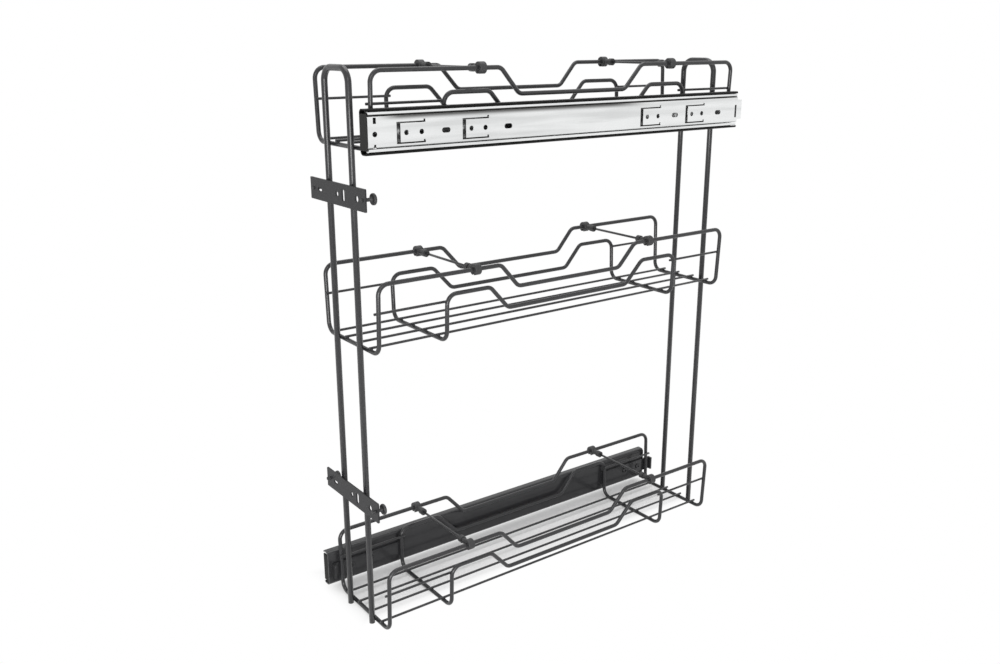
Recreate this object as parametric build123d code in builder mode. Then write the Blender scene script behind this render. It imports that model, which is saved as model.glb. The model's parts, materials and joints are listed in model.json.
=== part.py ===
"""Pull-out spice rack: three bent-wire baskets on two wire uprights, carried by
two ball-bearing drawer slides, with six sliding divider rods.

Millimetres. +X is the side of the upper slide, -Y the door end that comes out
of the cabinet, +Z up. The origin is on the floor, in the middle of the rack.
"""

import os

from build123d import *

os.makedirs("parts", exist_ok=True)


# Fits between pieces
WELD_GAP = 0.05
CUT_OVERRUN = 1.0

# Basket wire loops
LOOP_WIRE = 5.0
LOOP_LENGTH = 529.7
LOOP_FOOT_WIDTH = 116.2
LOOP_RAIL_WIDTH = 122.4
OUTER_RAIL_RISE = 78.2
OUTER_LOW_RISE = 49.7
OUTER_DROP_START_SHARE = 0.1977
OUTER_DROP_END_SHARE = 0.1491
INNER_LOOP_INSET = 86.85
INNER_RAIL_RISE = 54.2
INNER_LOW_RISE = 25.8
INNER_DROP_START_SHARE = 0.2252
INNER_DROP_END_SHARE = 0.1756
LOOP_CORNER_RADIUS = 12.0
DROP_BEND_RADIUS = 11.0

# Thin wires of the baskets
THIN_WIRE = 3.0
FLOOR_WIRE_PITCH = 27.3
FLOOR_WIRE_COUNT = 4
FLOOR_WIRE_BACK_REACH = 1.0
SIDE_WIRE_RISE = 45.5
SIDE_WIRE_REACH = 3.0

# Uprights
UPRIGHT_WIRE = 7.0
UPRIGHT_SPACING = 53.2
UPRIGHT_HEIGHT = 642.8
UPRIGHT_CORNER_RADIUS = 15.0

# Baskets on the uprights, at the centre lines of their crossbars
TOP_BASKET_DROP = 83.0
MIDDLE_BASKET_SHARE = 0.6094

# Drawer slides: section
SLIDE_HEIGHT = 45.5
SLIDE_THICKNESS = 12.7
RACK_RAIL_GAUGE = 1.2
RACK_RAIL_LIP = 2.5
RACK_RAIL_SETBACK = 0.6
RACK_RAIL_CORNER = 3.9
RACK_RAIL_LIP_RADIUS = 1.2
MIDDLE_RAIL_GAUGE = 1.0
MIDDLE_RAIL_BEND = 0.75
MIDDLE_RAIL_LIP = 2.8
CABINET_RAIL_GAUGE = 1.2
CABINET_RAIL_HEIGHT = 32.8
CABINET_RAIL_FLANGE = 8.0
CABINET_RAIL_CORNER = 3.0
OUTER_BALL = 3.2
INNER_BALL = 2.4
BALL_PLAY = 0.05
BALL_SIDE_PLAY = 0.35
CAGE_GAUGE = 0.4
CAGE_PLAY = 0.15
POCKET_PLAY = 0.1
CAGE_BEND = 0.5

# Drawer slides: lengths and places. The reaches are beyond the end crossbars.
RACK_RAIL_FRONT_REACH = 15.8
RACK_RAIL_BACK_SETBACK = 1.0
RACK_RAIL_PROUD = 2.0
CABINET_RAIL_BACK_REACH = 6.5
MIDDLE_RAIL_END_GAP = 1.0
END_TAB_LENGTH = 7.5
END_TAB_HEIGHT = 24.0
TRAVEL_SHORTFALL = 20.0
CAGE_END_GAP = 5.0
BALL_PITCH_SHARE = 0.23
BALLS_PER_ROW = 4
UPPER_SLIDE_DROP = 3.3
LOWER_SLIDE_RISE = 5.5
BUMPER_PLAY = 0.3
BUMPER_HEIGHT = 36.0

# Holes and bent tabs in the web of a cabinet rail, in shares of its length from the front
FEATURE_DROP = 2.0
TAB_HEIGHT = 20.4
TAB_LENGTH = 34.0
TAB_GAP = 4.4
TAB_SLIT = 1.5
TAB_HOOK_WIDTH = 2.2
TAB_HOOK_RISE = 1.8
TAB_START_SHARES = (0.0595, 0.2042, 0.6713, 0.8109)
TAB_HOLE_SPACING = 18.0
TAB_HOLE_INSET = 11.4
RAIL_HOLE = 5.4
SLOT_PLACE_SHARES = (0.1671, 0.3129, 0.7773, 0.9182)
SLOT_LENGTH = 10.4
END_HOLE_INSET = 7.8
END_HOLE_RISE = 13.2
LATCH_WINDOW_WIDTH = 3.4
LATCH_WINDOW_HEIGHT = 6.0
KEYHOLE_WIDTH = 3.6
KEYHOLE_SLOT = 2.2
KEYHOLE_HEIGHT = 6.4
END_SLOT_INSET = 11.2
END_SLOT_HEIGHT = 15.6
END_SLOT_WIDTH = 3.2

# Strips between the slides and the baskets, from one loop's legs to the other's
STRIP_THICKNESS = 2.5
STRIP_HEIGHT = 19.2
STRIP_RISE = 11.0
STRIP_INNER_REACH = 3.4
STRIP_OUTER_REACH = 11.0
STRIP_LIP_DEPTH = 5.0
SCREW_INSETS = (53.0, 26.0)
SCREW_HEAD = 8.0
SCREW_HEAD_HEIGHT = 2.2
SCREW_SHANK = 4.0
SCREW_HOLE_PLAY = 0.1
SCREW_RECESS = 2.6

# Door plates and their clamping studs
PLATE_WIDTH = 124.0
PLATE_HEIGHT = 24.0
PLATE_THICKNESS = 1.8
UPPER_PLATE_DROP = 133.0
LOWER_PLATE_LEVEL = 159.1
PLATE_CORNER = 1.0
PLATE_SLOT_PLACE = -39.9
PLATE_SLOT_LENGTH = 9.5
PLATE_SLOT_WIDTH = 4.0
PLATE_HOLE_PLACE = 0.0
PLATE_HOLE = 6.0
PLATE_SLIT_PLACE = 14.0
PLATE_SLIT_WIDTH = 5.8
PLATE_SLIT_HEIGHT = 13.5
PLATE_END_HOLE_PLACE = 43.7
PLATE_END_HOLE = 7.0
STUD_PLACE = 55.0
STUD_STEM = 4.0
STUD_COLLAR = 6.6
STUD_COLLAR_REACH = 2.6
STUD_LENGTH = 12.6
STUD_FLARE = 1.6
STUD_FLARE_WIDTH = 8.6
STUD_HEAD = 12.6
STUD_HEAD_THICKNESS = 3.6
STUD_HEAD_ROUND = 1.4
STUD_NOSE_REACH = {"upper": 1.2, "lower": 3.8}
STUD_HOLE_PLAY = 0.15

# Divider rods and their snap-on clips
CLIP_RING = 13.0
CLIP_WIDTH = 8.6
CLIP_BORE_PLAY = 0.15
CLIP_MOUTH = 3.8
CLIP_NECK = 7.2
CLIP_COLLAR = 8.8
CLIP_COLLAR_LENGTH = 6.0
CLIP_NECK_REACH = 19.0
CLIP_ROUND = 0.8
ROD_WIRE = 3.0
ROD_GRIP = 5.0
ROD_HOLE_PLAY = 0.05
DIVIDER_PLACES = {
    "bottom": {"front": -152.8, "rear": 153.0},
    "middle": {"front": -139.7, "rear": 128.4},
    "top": {"front": -131.2, "rear": 153.3},
}

# Sizes that follow
LEAN = (LOOP_RAIL_WIDTH - LOOP_FOOT_WIDTH) / 2 / OUTER_RAIL_RISE
WIRE_RADIUS = LOOP_WIRE / 2
THIN_RADIUS = THIN_WIRE / 2
UPRIGHT_PLACE = LOOP_LENGTH / 2 + WIRE_RADIUS + UPRIGHT_WIRE / 2 + WELD_GAP
INNER_LOOP_LENGTH = LOOP_LENGTH - INNER_LOOP_INSET * 2

BOTTOM_LEVEL = WIRE_RADIUS
TOP_LEVEL = UPRIGHT_HEIGHT - TOP_BASKET_DROP
MIDDLE_LEVEL = BOTTOM_LEVEL + (TOP_LEVEL - BOTTOM_LEVEL) * MIDDLE_BASKET_SHARE
BASKET_LEVEL = {"bottom": BOTTOM_LEVEL, "middle": MIDDLE_LEVEL, "top": TOP_LEVEL}
PLATE_LEVEL = {"upper": UPRIGHT_HEIGHT - UPPER_PLATE_DROP, "lower": LOWER_PLATE_LEVEL}

RACK_RAIL_FRONT = LOOP_LENGTH / 2 + RACK_RAIL_FRONT_REACH
RACK_RAIL_LENGTH = RACK_RAIL_FRONT + LOOP_LENGTH / 2 - RACK_RAIL_BACK_SETBACK
CABINET_RAIL_FRONT = RACK_RAIL_FRONT - RACK_RAIL_PROUD
CABINET_RAIL_LENGTH = CABINET_RAIL_FRONT + LOOP_LENGTH / 2 + CABINET_RAIL_BACK_REACH
TRAVEL = CABINET_RAIL_LENGTH - TRAVEL_SHORTFALL
STRIP_OUTER_END = LOOP_LENGTH / 2 + STRIP_OUTER_REACH
STRIP_INNER_END = INNER_LOOP_LENGTH / 2 - STRIP_INNER_REACH
SCREW_PLACES = [STRIP_OUTER_END - inset for inset in SCREW_INSETS]

Y_MIDDLE = (RACK_RAIL_FRONT - STRIP_OUTER_END) / 2
MID_LENGTH_PLANE = Plane.XZ.offset(-Y_MIDDLE)


def leg_place(rise):
    """Distance from the middle plane to the leaning side of a loop, at a rise above its crossbar."""
    return LOOP_FOOT_WIDTH / 2 + LEAN * rise


def across(place):
    """Plane across the rack, facing back, at a distance behind its middle."""
    return Plane(origin=(0, Y_MIDDLE + place, 0), x_dir=(-1, 0, 0), z_dir=(0, 1, 0))


def finish(part, name):
    """Label a finished piece and write it."""
    part.label = name
    export_step(part, f"parts/{name}.step")


def slide_level(name):
    """Height of the middle of a slide."""
    if name == "upper":
        return BASKET_LEVEL["top"] - UPPER_SLIDE_DROP + SLIDE_HEIGHT / 2
    return BASKET_LEVEL["bottom"] + LOWER_SLIDE_RISE + SLIDE_HEIGHT / 2


SLIDE_SIDE = {"upper": 1, "lower": -1}
STRIP_TOP_RISE = LOWER_SLIDE_RISE + STRIP_RISE + STRIP_HEIGHT
STRIP_FACE = leg_place(STRIP_TOP_RISE) + WIRE_RADIUS + WELD_GAP
RACK_RAIL_FACE = STRIP_FACE + STRIP_THICKNESS + WELD_GAP
CABINET_FACE = RACK_RAIL_FACE + SLIDE_THICKNESS


# Baskets

def wire_loop(length, rise, low_rise, drop_start, drop_end, level):
    """One closed bent wire: two crossbars, four leaning legs, side rails that dip in the middle."""
    with BuildPart() as loop:
        with BuildLine():
            FilletPolyline(
                (0, Y_MIDDLE - length / 2, level),
                (leg_place(0), Y_MIDDLE - length / 2, level),
                (leg_place(rise), Y_MIDDLE - length / 2, level + rise),
                (leg_place(rise), Y_MIDDLE - drop_start, level + rise),
                (leg_place(low_rise), Y_MIDDLE - drop_end, level + low_rise),
                (leg_place(low_rise), Y_MIDDLE, level + low_rise),
                radius=[LOOP_CORNER_RADIUS, LOOP_CORNER_RADIUS, DROP_BEND_RADIUS, DROP_BEND_RADIUS],
            )
        with BuildSketch(Plane(origin=(0, Y_MIDDLE - length / 2, level), z_dir=(1, 0, 0))):
            Circle(WIRE_RADIUS)
        sweep()
        mirror(about=Plane.YZ)
        mirror(about=MID_LENGTH_PLANE)
    return loop.part


def floor_wires(level):
    """The straight thin wires that lie on the crossbars."""
    front = -LOOP_LENGTH / 2 - WIRE_RADIUS
    back = LOOP_LENGTH / 2 + WIRE_RADIUS + FLOOR_WIRE_BACK_REACH
    height = level + WIRE_RADIUS + THIN_RADIUS + WELD_GAP
    places = [FLOOR_WIRE_PITCH * (i - (FLOOR_WIRE_COUNT - 1) / 2) for i in range(FLOOR_WIRE_COUNT)]
    with BuildPart() as wires:
        with BuildSketch(across(front)):
            with Locations([(place, height) for place in places]):
                Circle(THIN_RADIUS)
        extrude(amount=back - front)
    return wires.part


def side_wires(level):
    """The four thin wires that tie the legs of the outer loop to the legs of the inner loop."""
    outer = LOOP_LENGTH / 2 + SIDE_WIRE_REACH
    inner = INNER_LOOP_LENGTH / 2 - SIDE_WIRE_REACH
    inset = leg_place(SIDE_WIRE_RISE - THIN_RADIUS) - WIRE_RADIUS - THIN_RADIUS - WELD_GAP
    with BuildPart() as wires:
        with BuildSketch(across(-outer)):
            with Locations((inset, level + SIDE_WIRE_RISE), (-inset, level + SIDE_WIRE_RISE)):
                Circle(THIN_RADIUS)
        extrude(amount=outer - inner)
        mirror(about=MID_LENGTH_PLANE)
    return wires.part


outer_drop = [LOOP_LENGTH * OUTER_DROP_START_SHARE, LOOP_LENGTH * OUTER_DROP_END_SHARE]
inner_drop = [LOOP_LENGTH * INNER_DROP_START_SHARE, LOOP_LENGTH * INNER_DROP_END_SHARE]
for basket, level in BASKET_LEVEL.items():
    outer = wire_loop(LOOP_LENGTH, OUTER_RAIL_RISE, OUTER_LOW_RISE, *outer_drop, level)
    inner = wire_loop(INNER_LOOP_LENGTH, INNER_RAIL_RISE, INNER_LOW_RISE, *inner_drop, level)
    finish(outer, f"{basket}_outer_loop")
    finish(inner, f"{basket}_inner_loop")
    finish(floor_wires(level), f"{basket}_floor_wires")
    finish(side_wires(level), f"{basket}_side_wires")


# Uprights

def upright_frame(place):
    """One wire bent into an upside-down U that stands on the floor."""
    half = UPRIGHT_SPACING / 2
    top = UPRIGHT_HEIGHT - UPRIGHT_WIRE / 2
    y = Y_MIDDLE + place
    with BuildPart() as frame:
        with BuildLine():
            FilletPolyline((half, y, 0), (half, y, top), (0, y, top), radius=UPRIGHT_CORNER_RADIUS)
        with BuildSketch(Plane.XY):
            with Locations((half, y)):
                Circle(UPRIGHT_WIRE / 2)
        sweep()
        mirror(about=Plane.YZ)
    return frame.part


finish(upright_frame(-UPRIGHT_PLACE), "front_upright_frame")
finish(upright_frame(UPRIGHT_PLACE), "rear_upright_frame")


# Drawer slides. Their sections are drawn as the middle line of the rolled
# sheet: depth is measured from the cabinet wall towards the rack, rise from
# the middle of the slide.

RACK_FLANGE_RISE = (SLIDE_HEIGHT - RACK_RAIL_GAUGE) / 2
RACK_FLANGE_INSIDE = SLIDE_HEIGHT / 2 - RACK_RAIL_GAUGE
RACK_WEB_DEPTH = SLIDE_THICKNESS - RACK_RAIL_GAUGE / 2
RACK_LIP_DEPTH = RACK_RAIL_SETBACK + RACK_RAIL_GAUGE / 2
RACK_LIP_END = SLIDE_HEIGHT / 2 - RACK_RAIL_LIP

CABINET_FLANGE_RISE = (CABINET_RAIL_HEIGHT - CABINET_RAIL_GAUGE) / 2
CABINET_WEB_DEPTH = CABINET_RAIL_GAUGE / 2
INNER_BALL_RISE = CABINET_RAIL_HEIGHT / 2 + BALL_PLAY + INNER_BALL / 2
OUTER_BALL_RISE = RACK_FLANGE_INSIDE - BALL_PLAY - OUTER_BALL / 2

MIDDLE_HIGH_RISE = INNER_BALL_RISE + INNER_BALL / 2 + BALL_PLAY + MIDDLE_RAIL_GAUGE / 2
MIDDLE_LOW_RISE = OUTER_BALL_RISE - OUTER_BALL / 2 - BALL_PLAY - MIDDLE_RAIL_GAUGE / 2
MIDDLE_LIP_DEPTH = RACK_LIP_DEPTH
INNER_BALL_DEPTH = MIDDLE_LIP_DEPTH + MIDDLE_RAIL_GAUGE / 2 + BALL_SIDE_PLAY + CAGE_PLAY + INNER_BALL / 2
MIDDLE_STEP_DEPTH = INNER_BALL_DEPTH * 2 - MIDDLE_LIP_DEPTH
OUTER_BALL_DEPTH = MIDDLE_STEP_DEPTH + MIDDLE_RAIL_GAUGE / 2 + BALL_SIDE_PLAY + CAGE_PLAY + OUTER_BALL / 2
CAGE_WEB_DEPTH = SLIDE_THICKNESS - RACK_RAIL_GAUGE - CAGE_PLAY - CAGE_GAUGE / 2
MIDDLE_WEB_DEPTH = CAGE_WEB_DEPTH - CAGE_GAUGE / 2 - CAGE_PLAY - MIDDLE_RAIL_GAUGE / 2


def section_points(side, level, points):
    """Turn (depth, rise) pairs of a slide's upper half into points of a whole, closed-up path."""
    half = [(side * (CABINET_FACE - depth), rise) for depth, rise in points]
    upper = [(x, level + rise) for x, rise in half]
    lower = [(x, level - rise) for x, rise in reversed(half)]
    return upper + lower


def rolled_rail(name, points, radii, gauge, front, length):
    """A straight rail rolled from sheet, with one section all along."""
    with BuildPart() as rail:
        with BuildSketch(Plane.XZ.offset(-(Y_MIDDLE + front + length))):
            with BuildLine():
                FilletPolyline(
                    *section_points(SLIDE_SIDE[name], slide_level(name), points),
                    radius=radii + radii[::-1],
                )
            trace(line_width=gauge)
        extrude(amount=length)
    return rail.part


def rack_rail(name):
    """The large member, screwed to the rack's strips; its mouth faces the cabinet wall."""
    section = [
        (RACK_LIP_DEPTH, RACK_LIP_END),
        (RACK_LIP_DEPTH, RACK_FLANGE_RISE),
        (RACK_WEB_DEPTH, RACK_FLANGE_RISE),
    ]
    radii = [RACK_RAIL_LIP_RADIUS, RACK_RAIL_CORNER]
    level = slide_level(name)
    side = SLIDE_SIDE[name]
    strip_level = level - SLIDE_HEIGHT / 2 + STRIP_RISE + STRIP_HEIGHT / 2
    body = rolled_rail(name, section, radii, RACK_RAIL_GAUGE, -RACK_RAIL_FRONT, RACK_RAIL_LENGTH)
    with BuildPart() as rail:
        add(body)
        with BuildSketch(Plane.YZ.offset(side * RACK_RAIL_FACE)):
            places = [Y_MIDDLE + end * place for end in (-1, 1) for place in SCREW_PLACES]
            with Locations([(place, strip_level) for place in places]):
                Circle(SCREW_SHANK / 2 + SCREW_HOLE_PLAY)
        extrude(amount=SCREW_RECESS, both=True, mode=Mode.SUBTRACT)
    return rail.part


def middle_rail(name):
    """The middle member, with one ball race above its flange and one below it."""
    section = [
        (MIDDLE_LIP_DEPTH, MIDDLE_HIGH_RISE - MIDDLE_RAIL_LIP),
        (MIDDLE_LIP_DEPTH, MIDDLE_HIGH_RISE),
        (MIDDLE_STEP_DEPTH, MIDDLE_HIGH_RISE),
        (MIDDLE_STEP_DEPTH, MIDDLE_LOW_RISE),
        (MIDDLE_WEB_DEPTH, MIDDLE_LOW_RISE),
    ]
    radii = [MIDDLE_RAIL_BEND] * (len(section) - 1)
    front = -CABINET_RAIL_FRONT + MIDDLE_RAIL_END_GAP
    length = RACK_RAIL_LENGTH - RACK_RAIL_PROUD - MIDDLE_RAIL_END_GAP * 2
    return rolled_rail(name, section, radii, MIDDLE_RAIL_GAUGE, front, length)


def cabinet_rail(name):
    """The small member, screwed to the cabinet wall through the holes and bent tabs of its web."""
    side = SLIDE_SIDE[name]
    level = slide_level(name)
    row = level - FEATURE_DROP
    front = Y_MIDDLE - CABINET_RAIL_FRONT
    back = front + CABINET_RAIL_LENGTH
    section = [(CABINET_RAIL_FLANGE, CABINET_FLANGE_RISE), (CABINET_WEB_DEPTH, CABINET_FLANGE_RISE)]
    length = CABINET_RAIL_LENGTH - END_TAB_LENGTH
    body = rolled_rail(
        name, section, [CABINET_RAIL_CORNER], CABINET_RAIL_GAUGE, -CABINET_RAIL_FRONT, length
    )
    face = Plane.YZ.offset(side * (CABINET_FACE - CABINET_RAIL_GAUGE / 2))
    half_tab = TAB_HEIGHT / 2
    hook_lift = TAB_HOOK_RISE / 2
    with BuildPart() as rail:
        add(body)
        with BuildSketch(face):
            with Locations((back - END_TAB_LENGTH, level)):
                Rectangle(END_TAB_LENGTH * 2, END_TAB_HEIGHT)
        extrude(amount=CABINET_RAIL_GAUGE / 2, both=True)
        with BuildSketch(face):
            for share in TAB_START_SHARES:
                y = front + CABINET_RAIL_LENGTH * share
                with Locations((y + TAB_GAP / 2, row)):
                    Rectangle(TAB_GAP, TAB_HEIGHT)
                with Locations((y + TAB_LENGTH / 2, row + half_tab), (y + TAB_LENGTH / 2, row - half_tab)):
                    Rectangle(TAB_LENGTH, TAB_SLIT)
                hook = y + TAB_LENGTH - TAB_HOOK_WIDTH / 2
                with Locations((hook, row + half_tab + hook_lift), (hook, row - half_tab + hook_lift)):
                    Rectangle(TAB_HOOK_WIDTH, TAB_HOOK_RISE + TAB_SLIT)
                hole = y + TAB_HOLE_INSET
                with Locations((hole, row), (hole + TAB_HOLE_SPACING, row)):
                    Circle(RAIL_HOLE / 2)
            with Locations([(front + CABINET_RAIL_LENGTH * share, row) for share in SLOT_PLACE_SHARES]):
                SlotOverall(SLOT_LENGTH, RAIL_HOLE)
            end = front + END_HOLE_INSET
            with Locations((end, row)):
                Circle(RAIL_HOLE / 2)
            with Locations((end, row + END_HOLE_RISE)):
                Rectangle(LATCH_WINDOW_WIDTH, LATCH_WINDOW_HEIGHT)
            with Locations((end, row - END_HOLE_RISE + KEYHOLE_HEIGHT / 4)):
                Rectangle(KEYHOLE_SLOT, KEYHOLE_HEIGHT / 2)
            with Locations((end, row - END_HOLE_RISE)):
                Circle(KEYHOLE_WIDTH / 2)
            with Locations((back - END_SLOT_INSET, row)):
                Rectangle(END_SLOT_WIDTH, END_SLOT_HEIGHT)
        extrude(amount=CABINET_RAIL_GAUGE, both=True, mode=Mode.SUBTRACT)
    return rail.part


# A cage is as long as the overlap that is left between its two members at full travel, less
# a gap at each end, and it stands in the middle of that overlap
MIDDLE_RAIL_BACK = RACK_RAIL_LENGTH - RACK_RAIL_FRONT - MIDDLE_RAIL_END_GAP
INNER_CAGE_MIDDLE = (MIDDLE_RAIL_BACK - CABINET_RAIL_FRONT) / 2
OUTER_CAGE_MIDDLE = (MIDDLE_RAIL_BACK - CABINET_RAIL_FRONT + MIDDLE_RAIL_END_GAP) / 2
CAGE_LENGTH = RACK_RAIL_LENGTH - RACK_RAIL_PROUD - TRAVEL / 2 - CAGE_END_GAP * 2
BALL_PITCH = CAGE_LENGTH * BALL_PITCH_SHARE


def ball_places(middle):
    """Places of one row's balls along the rack."""
    first = middle - BALL_PITCH * (BALLS_PER_ROW - 1) / 2
    return [first + BALL_PITCH * i for i in range(BALLS_PER_ROW)]


def ball_group(name, diameter, depth, rise, middle):
    """The balls of the two rows between two members."""
    x = SLIDE_SIDE[name] * (CABINET_FACE - depth)
    level = slide_level(name)
    with BuildPart() as balls:
        with Locations([(x, Y_MIDDLE + y, level + way * rise) for way in (-1, 1) for y in ball_places(middle)]):
            Sphere(diameter / 2)
    return balls.part


def pockets(name, diameter, depth, rise, middle):
    """Upright cylinders that cut a cage's ball pockets."""
    x = SLIDE_SIDE[name] * (CABINET_FACE - depth)
    level = slide_level(name)
    with Locations([(x, Y_MIDDLE + y, level + way * rise) for way in (-1, 1) for y in ball_places(middle)]):
        Cylinder(diameter / 2 + POCKET_PLAY, diameter, mode=Mode.SUBTRACT)


def outer_cage(name):
    """Sheet cage round the middle member, with the pockets of the outer balls."""
    strip_end = MIDDLE_STEP_DEPTH + MIDDLE_RAIL_GAUGE / 2 + CAGE_PLAY
    strip_start = OUTER_BALL_DEPTH * 2 - strip_end
    corner = RACK_FLANGE_INSIDE - RACK_RAIL_CORNER
    section = [(strip_end, OUTER_BALL_RISE), (strip_start, OUTER_BALL_RISE), (CAGE_WEB_DEPTH, corner)]
    body = rolled_rail(
        name, section, [CAGE_BEND, CAGE_BEND], CAGE_GAUGE, OUTER_CAGE_MIDDLE - CAGE_LENGTH / 2, CAGE_LENGTH
    )
    with BuildPart() as cage:
        add(body)
        pockets(name, OUTER_BALL, OUTER_BALL_DEPTH, OUTER_BALL_RISE, OUTER_CAGE_MIDDLE)
    return cage.part


def inner_cage(name):
    """The two strips that space the inner balls, one above and one below the cabinet rail."""
    side = SLIDE_SIDE[name]
    level = slide_level(name)
    width = (INNER_BALL / 2 + BALL_SIDE_PLAY) * 2
    x = side * (CABINET_FACE - INNER_BALL_DEPTH)
    y = Y_MIDDLE + INNER_CAGE_MIDDLE
    with BuildPart() as cage:
        with Locations((x, y, level + INNER_BALL_RISE), (x, y, level - INNER_BALL_RISE)):
            Box(width, CAGE_LENGTH, CAGE_GAUGE)
        pockets(name, INNER_BALL, INNER_BALL_DEPTH, INNER_BALL_RISE, INNER_CAGE_MIDDLE)
    return cage.part


def bumper(name):
    """Soft stop across the front end of the rack rail, which the other members meet when shut."""
    side = SLIDE_SIDE[name]
    depth = SLIDE_THICKNESS - RACK_RAIL_GAUGE - RACK_RAIL_SETBACK - WELD_GAP
    thickness = RACK_RAIL_PROUD - BUMPER_PLAY
    x = side * (RACK_RAIL_FACE + RACK_RAIL_GAUGE + WELD_GAP + depth / 2)
    with BuildPart() as block:
        with BuildSketch(across(-RACK_RAIL_FRONT)):
            with Locations((-x, slide_level(name))):
                Rectangle(depth, BUMPER_HEIGHT)
        extrude(amount=thickness)
    return block.part


def strip(name, end):
    """Flat strip, welded to two basket legs and screwed to the rack rail; its outer end is bent in."""
    side = SLIDE_SIDE[name]
    bottom = slide_level(name) - SLIDE_HEIGHT / 2 + STRIP_RISE
    level = bottom + STRIP_HEIGHT / 2
    inner_end = Y_MIDDLE + end * STRIP_INNER_END
    outer_end = Y_MIDDLE + end * STRIP_OUTER_END
    lip_start = outer_end - end * STRIP_THICKNESS
    basket_face = side * STRIP_FACE
    rail_face = side * (STRIP_FACE + STRIP_THICKNESS)
    lip_face = side * (STRIP_FACE - STRIP_LIP_DEPTH)
    with BuildPart() as plate:
        with BuildSketch(Plane.XY.offset(bottom)):
            with BuildLine():
                Polyline(
                    (basket_face, inner_end),
                    (rail_face, inner_end),
                    (rail_face, outer_end),
                    (lip_face, outer_end),
                    (lip_face, lip_start),
                    (basket_face, lip_start),
                    close=True,
                )
            make_face()
        extrude(amount=STRIP_HEIGHT)
        with BuildSketch(Plane.YZ.offset(basket_face)):
            with Locations([(Y_MIDDLE + end * place, level) for place in SCREW_PLACES]):
                Circle(SCREW_SHANK / 2 + SCREW_HOLE_PLAY)
        extrude(amount=STRIP_THICKNESS + CUT_OVERRUN, both=True, mode=Mode.SUBTRACT)
    return plate.part


def strip_screws(name):
    """Pan-head screws that hold the rack rail to its two strips."""
    side = SLIDE_SIDE[name]
    level = slide_level(name) - SLIDE_HEIGHT / 2 + STRIP_RISE + STRIP_HEIGHT / 2
    places = [(Y_MIDDLE + end * place, level) for end in (-1, 1) for place in SCREW_PLACES]
    seat = side * (STRIP_FACE - WELD_GAP)
    reach = WELD_GAP + STRIP_THICKNESS + WELD_GAP + RACK_RAIL_GAUGE
    with BuildPart() as screws:
        with BuildSketch(Plane.YZ.offset(seat)):
            with Locations(places):
                Circle(SCREW_HEAD / 2)
        extrude(amount=-side * SCREW_HEAD_HEIGHT)
        with BuildSketch(Plane.YZ.offset(seat)):
            with Locations(places):
                Circle(SCREW_SHANK / 2)
        extrude(amount=side * reach)
    return screws.part


for slide in SLIDE_SIDE:
    finish(rack_rail(slide), f"{slide}_rack_rail")
    finish(middle_rail(slide), f"{slide}_middle_rail")
    finish(cabinet_rail(slide), f"{slide}_cabinet_rail")
    finish(outer_cage(slide), f"{slide}_outer_ball_cage")
    finish(inner_cage(slide), f"{slide}_inner_ball_cage")
    outer_balls = ball_group(slide, OUTER_BALL, OUTER_BALL_DEPTH, OUTER_BALL_RISE, OUTER_CAGE_MIDDLE)
    inner_balls = ball_group(slide, INNER_BALL, INNER_BALL_DEPTH, INNER_BALL_RISE, INNER_CAGE_MIDDLE)
    finish(outer_balls, f"{slide}_outer_balls")
    finish(inner_balls, f"{slide}_inner_balls")
    finish(bumper(slide), f"{slide}_rail_bumper")
    finish(strip(slide, -1), f"{slide}_front_strip")
    finish(strip(slide, 1), f"{slide}_rear_strip")
    finish(strip_screws(slide), f"{slide}_strip_screws")


# Door plates

def door_plate(level):
    """Flat plate across the front upright, with slots and holes for the door's screws."""
    back = UPRIGHT_PLACE + UPRIGHT_WIRE / 2 + WELD_GAP
    front = back + PLATE_THICKNESS
    with BuildPart() as plate:
        with BuildSketch(Plane.XZ.offset(-(Y_MIDDLE - back))):
            with Locations((0, level)):
                RectangleRounded(PLATE_WIDTH, PLATE_HEIGHT, PLATE_CORNER)
            with Locations((PLATE_SLOT_PLACE, level)):
                SlotOverall(PLATE_SLOT_LENGTH, PLATE_SLOT_WIDTH, mode=Mode.SUBTRACT)
            with Locations((PLATE_HOLE_PLACE, level)):
                Circle(PLATE_HOLE / 2, mode=Mode.SUBTRACT)
            with Locations((PLATE_SLIT_PLACE, level)):
                SlotOverall(PLATE_SLIT_HEIGHT, PLATE_SLIT_WIDTH, rotation=90, mode=Mode.SUBTRACT)
            with Locations((PLATE_END_HOLE_PLACE, level)):
                Circle(PLATE_END_HOLE / 2, mode=Mode.SUBTRACT)
            with Locations((STUD_PLACE, level), (-STUD_PLACE, level)):
                Circle(STUD_STEM / 2 + STUD_HOLE_PLAY, mode=Mode.SUBTRACT)
        extrude(amount=front - back)
    return plate.part


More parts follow.
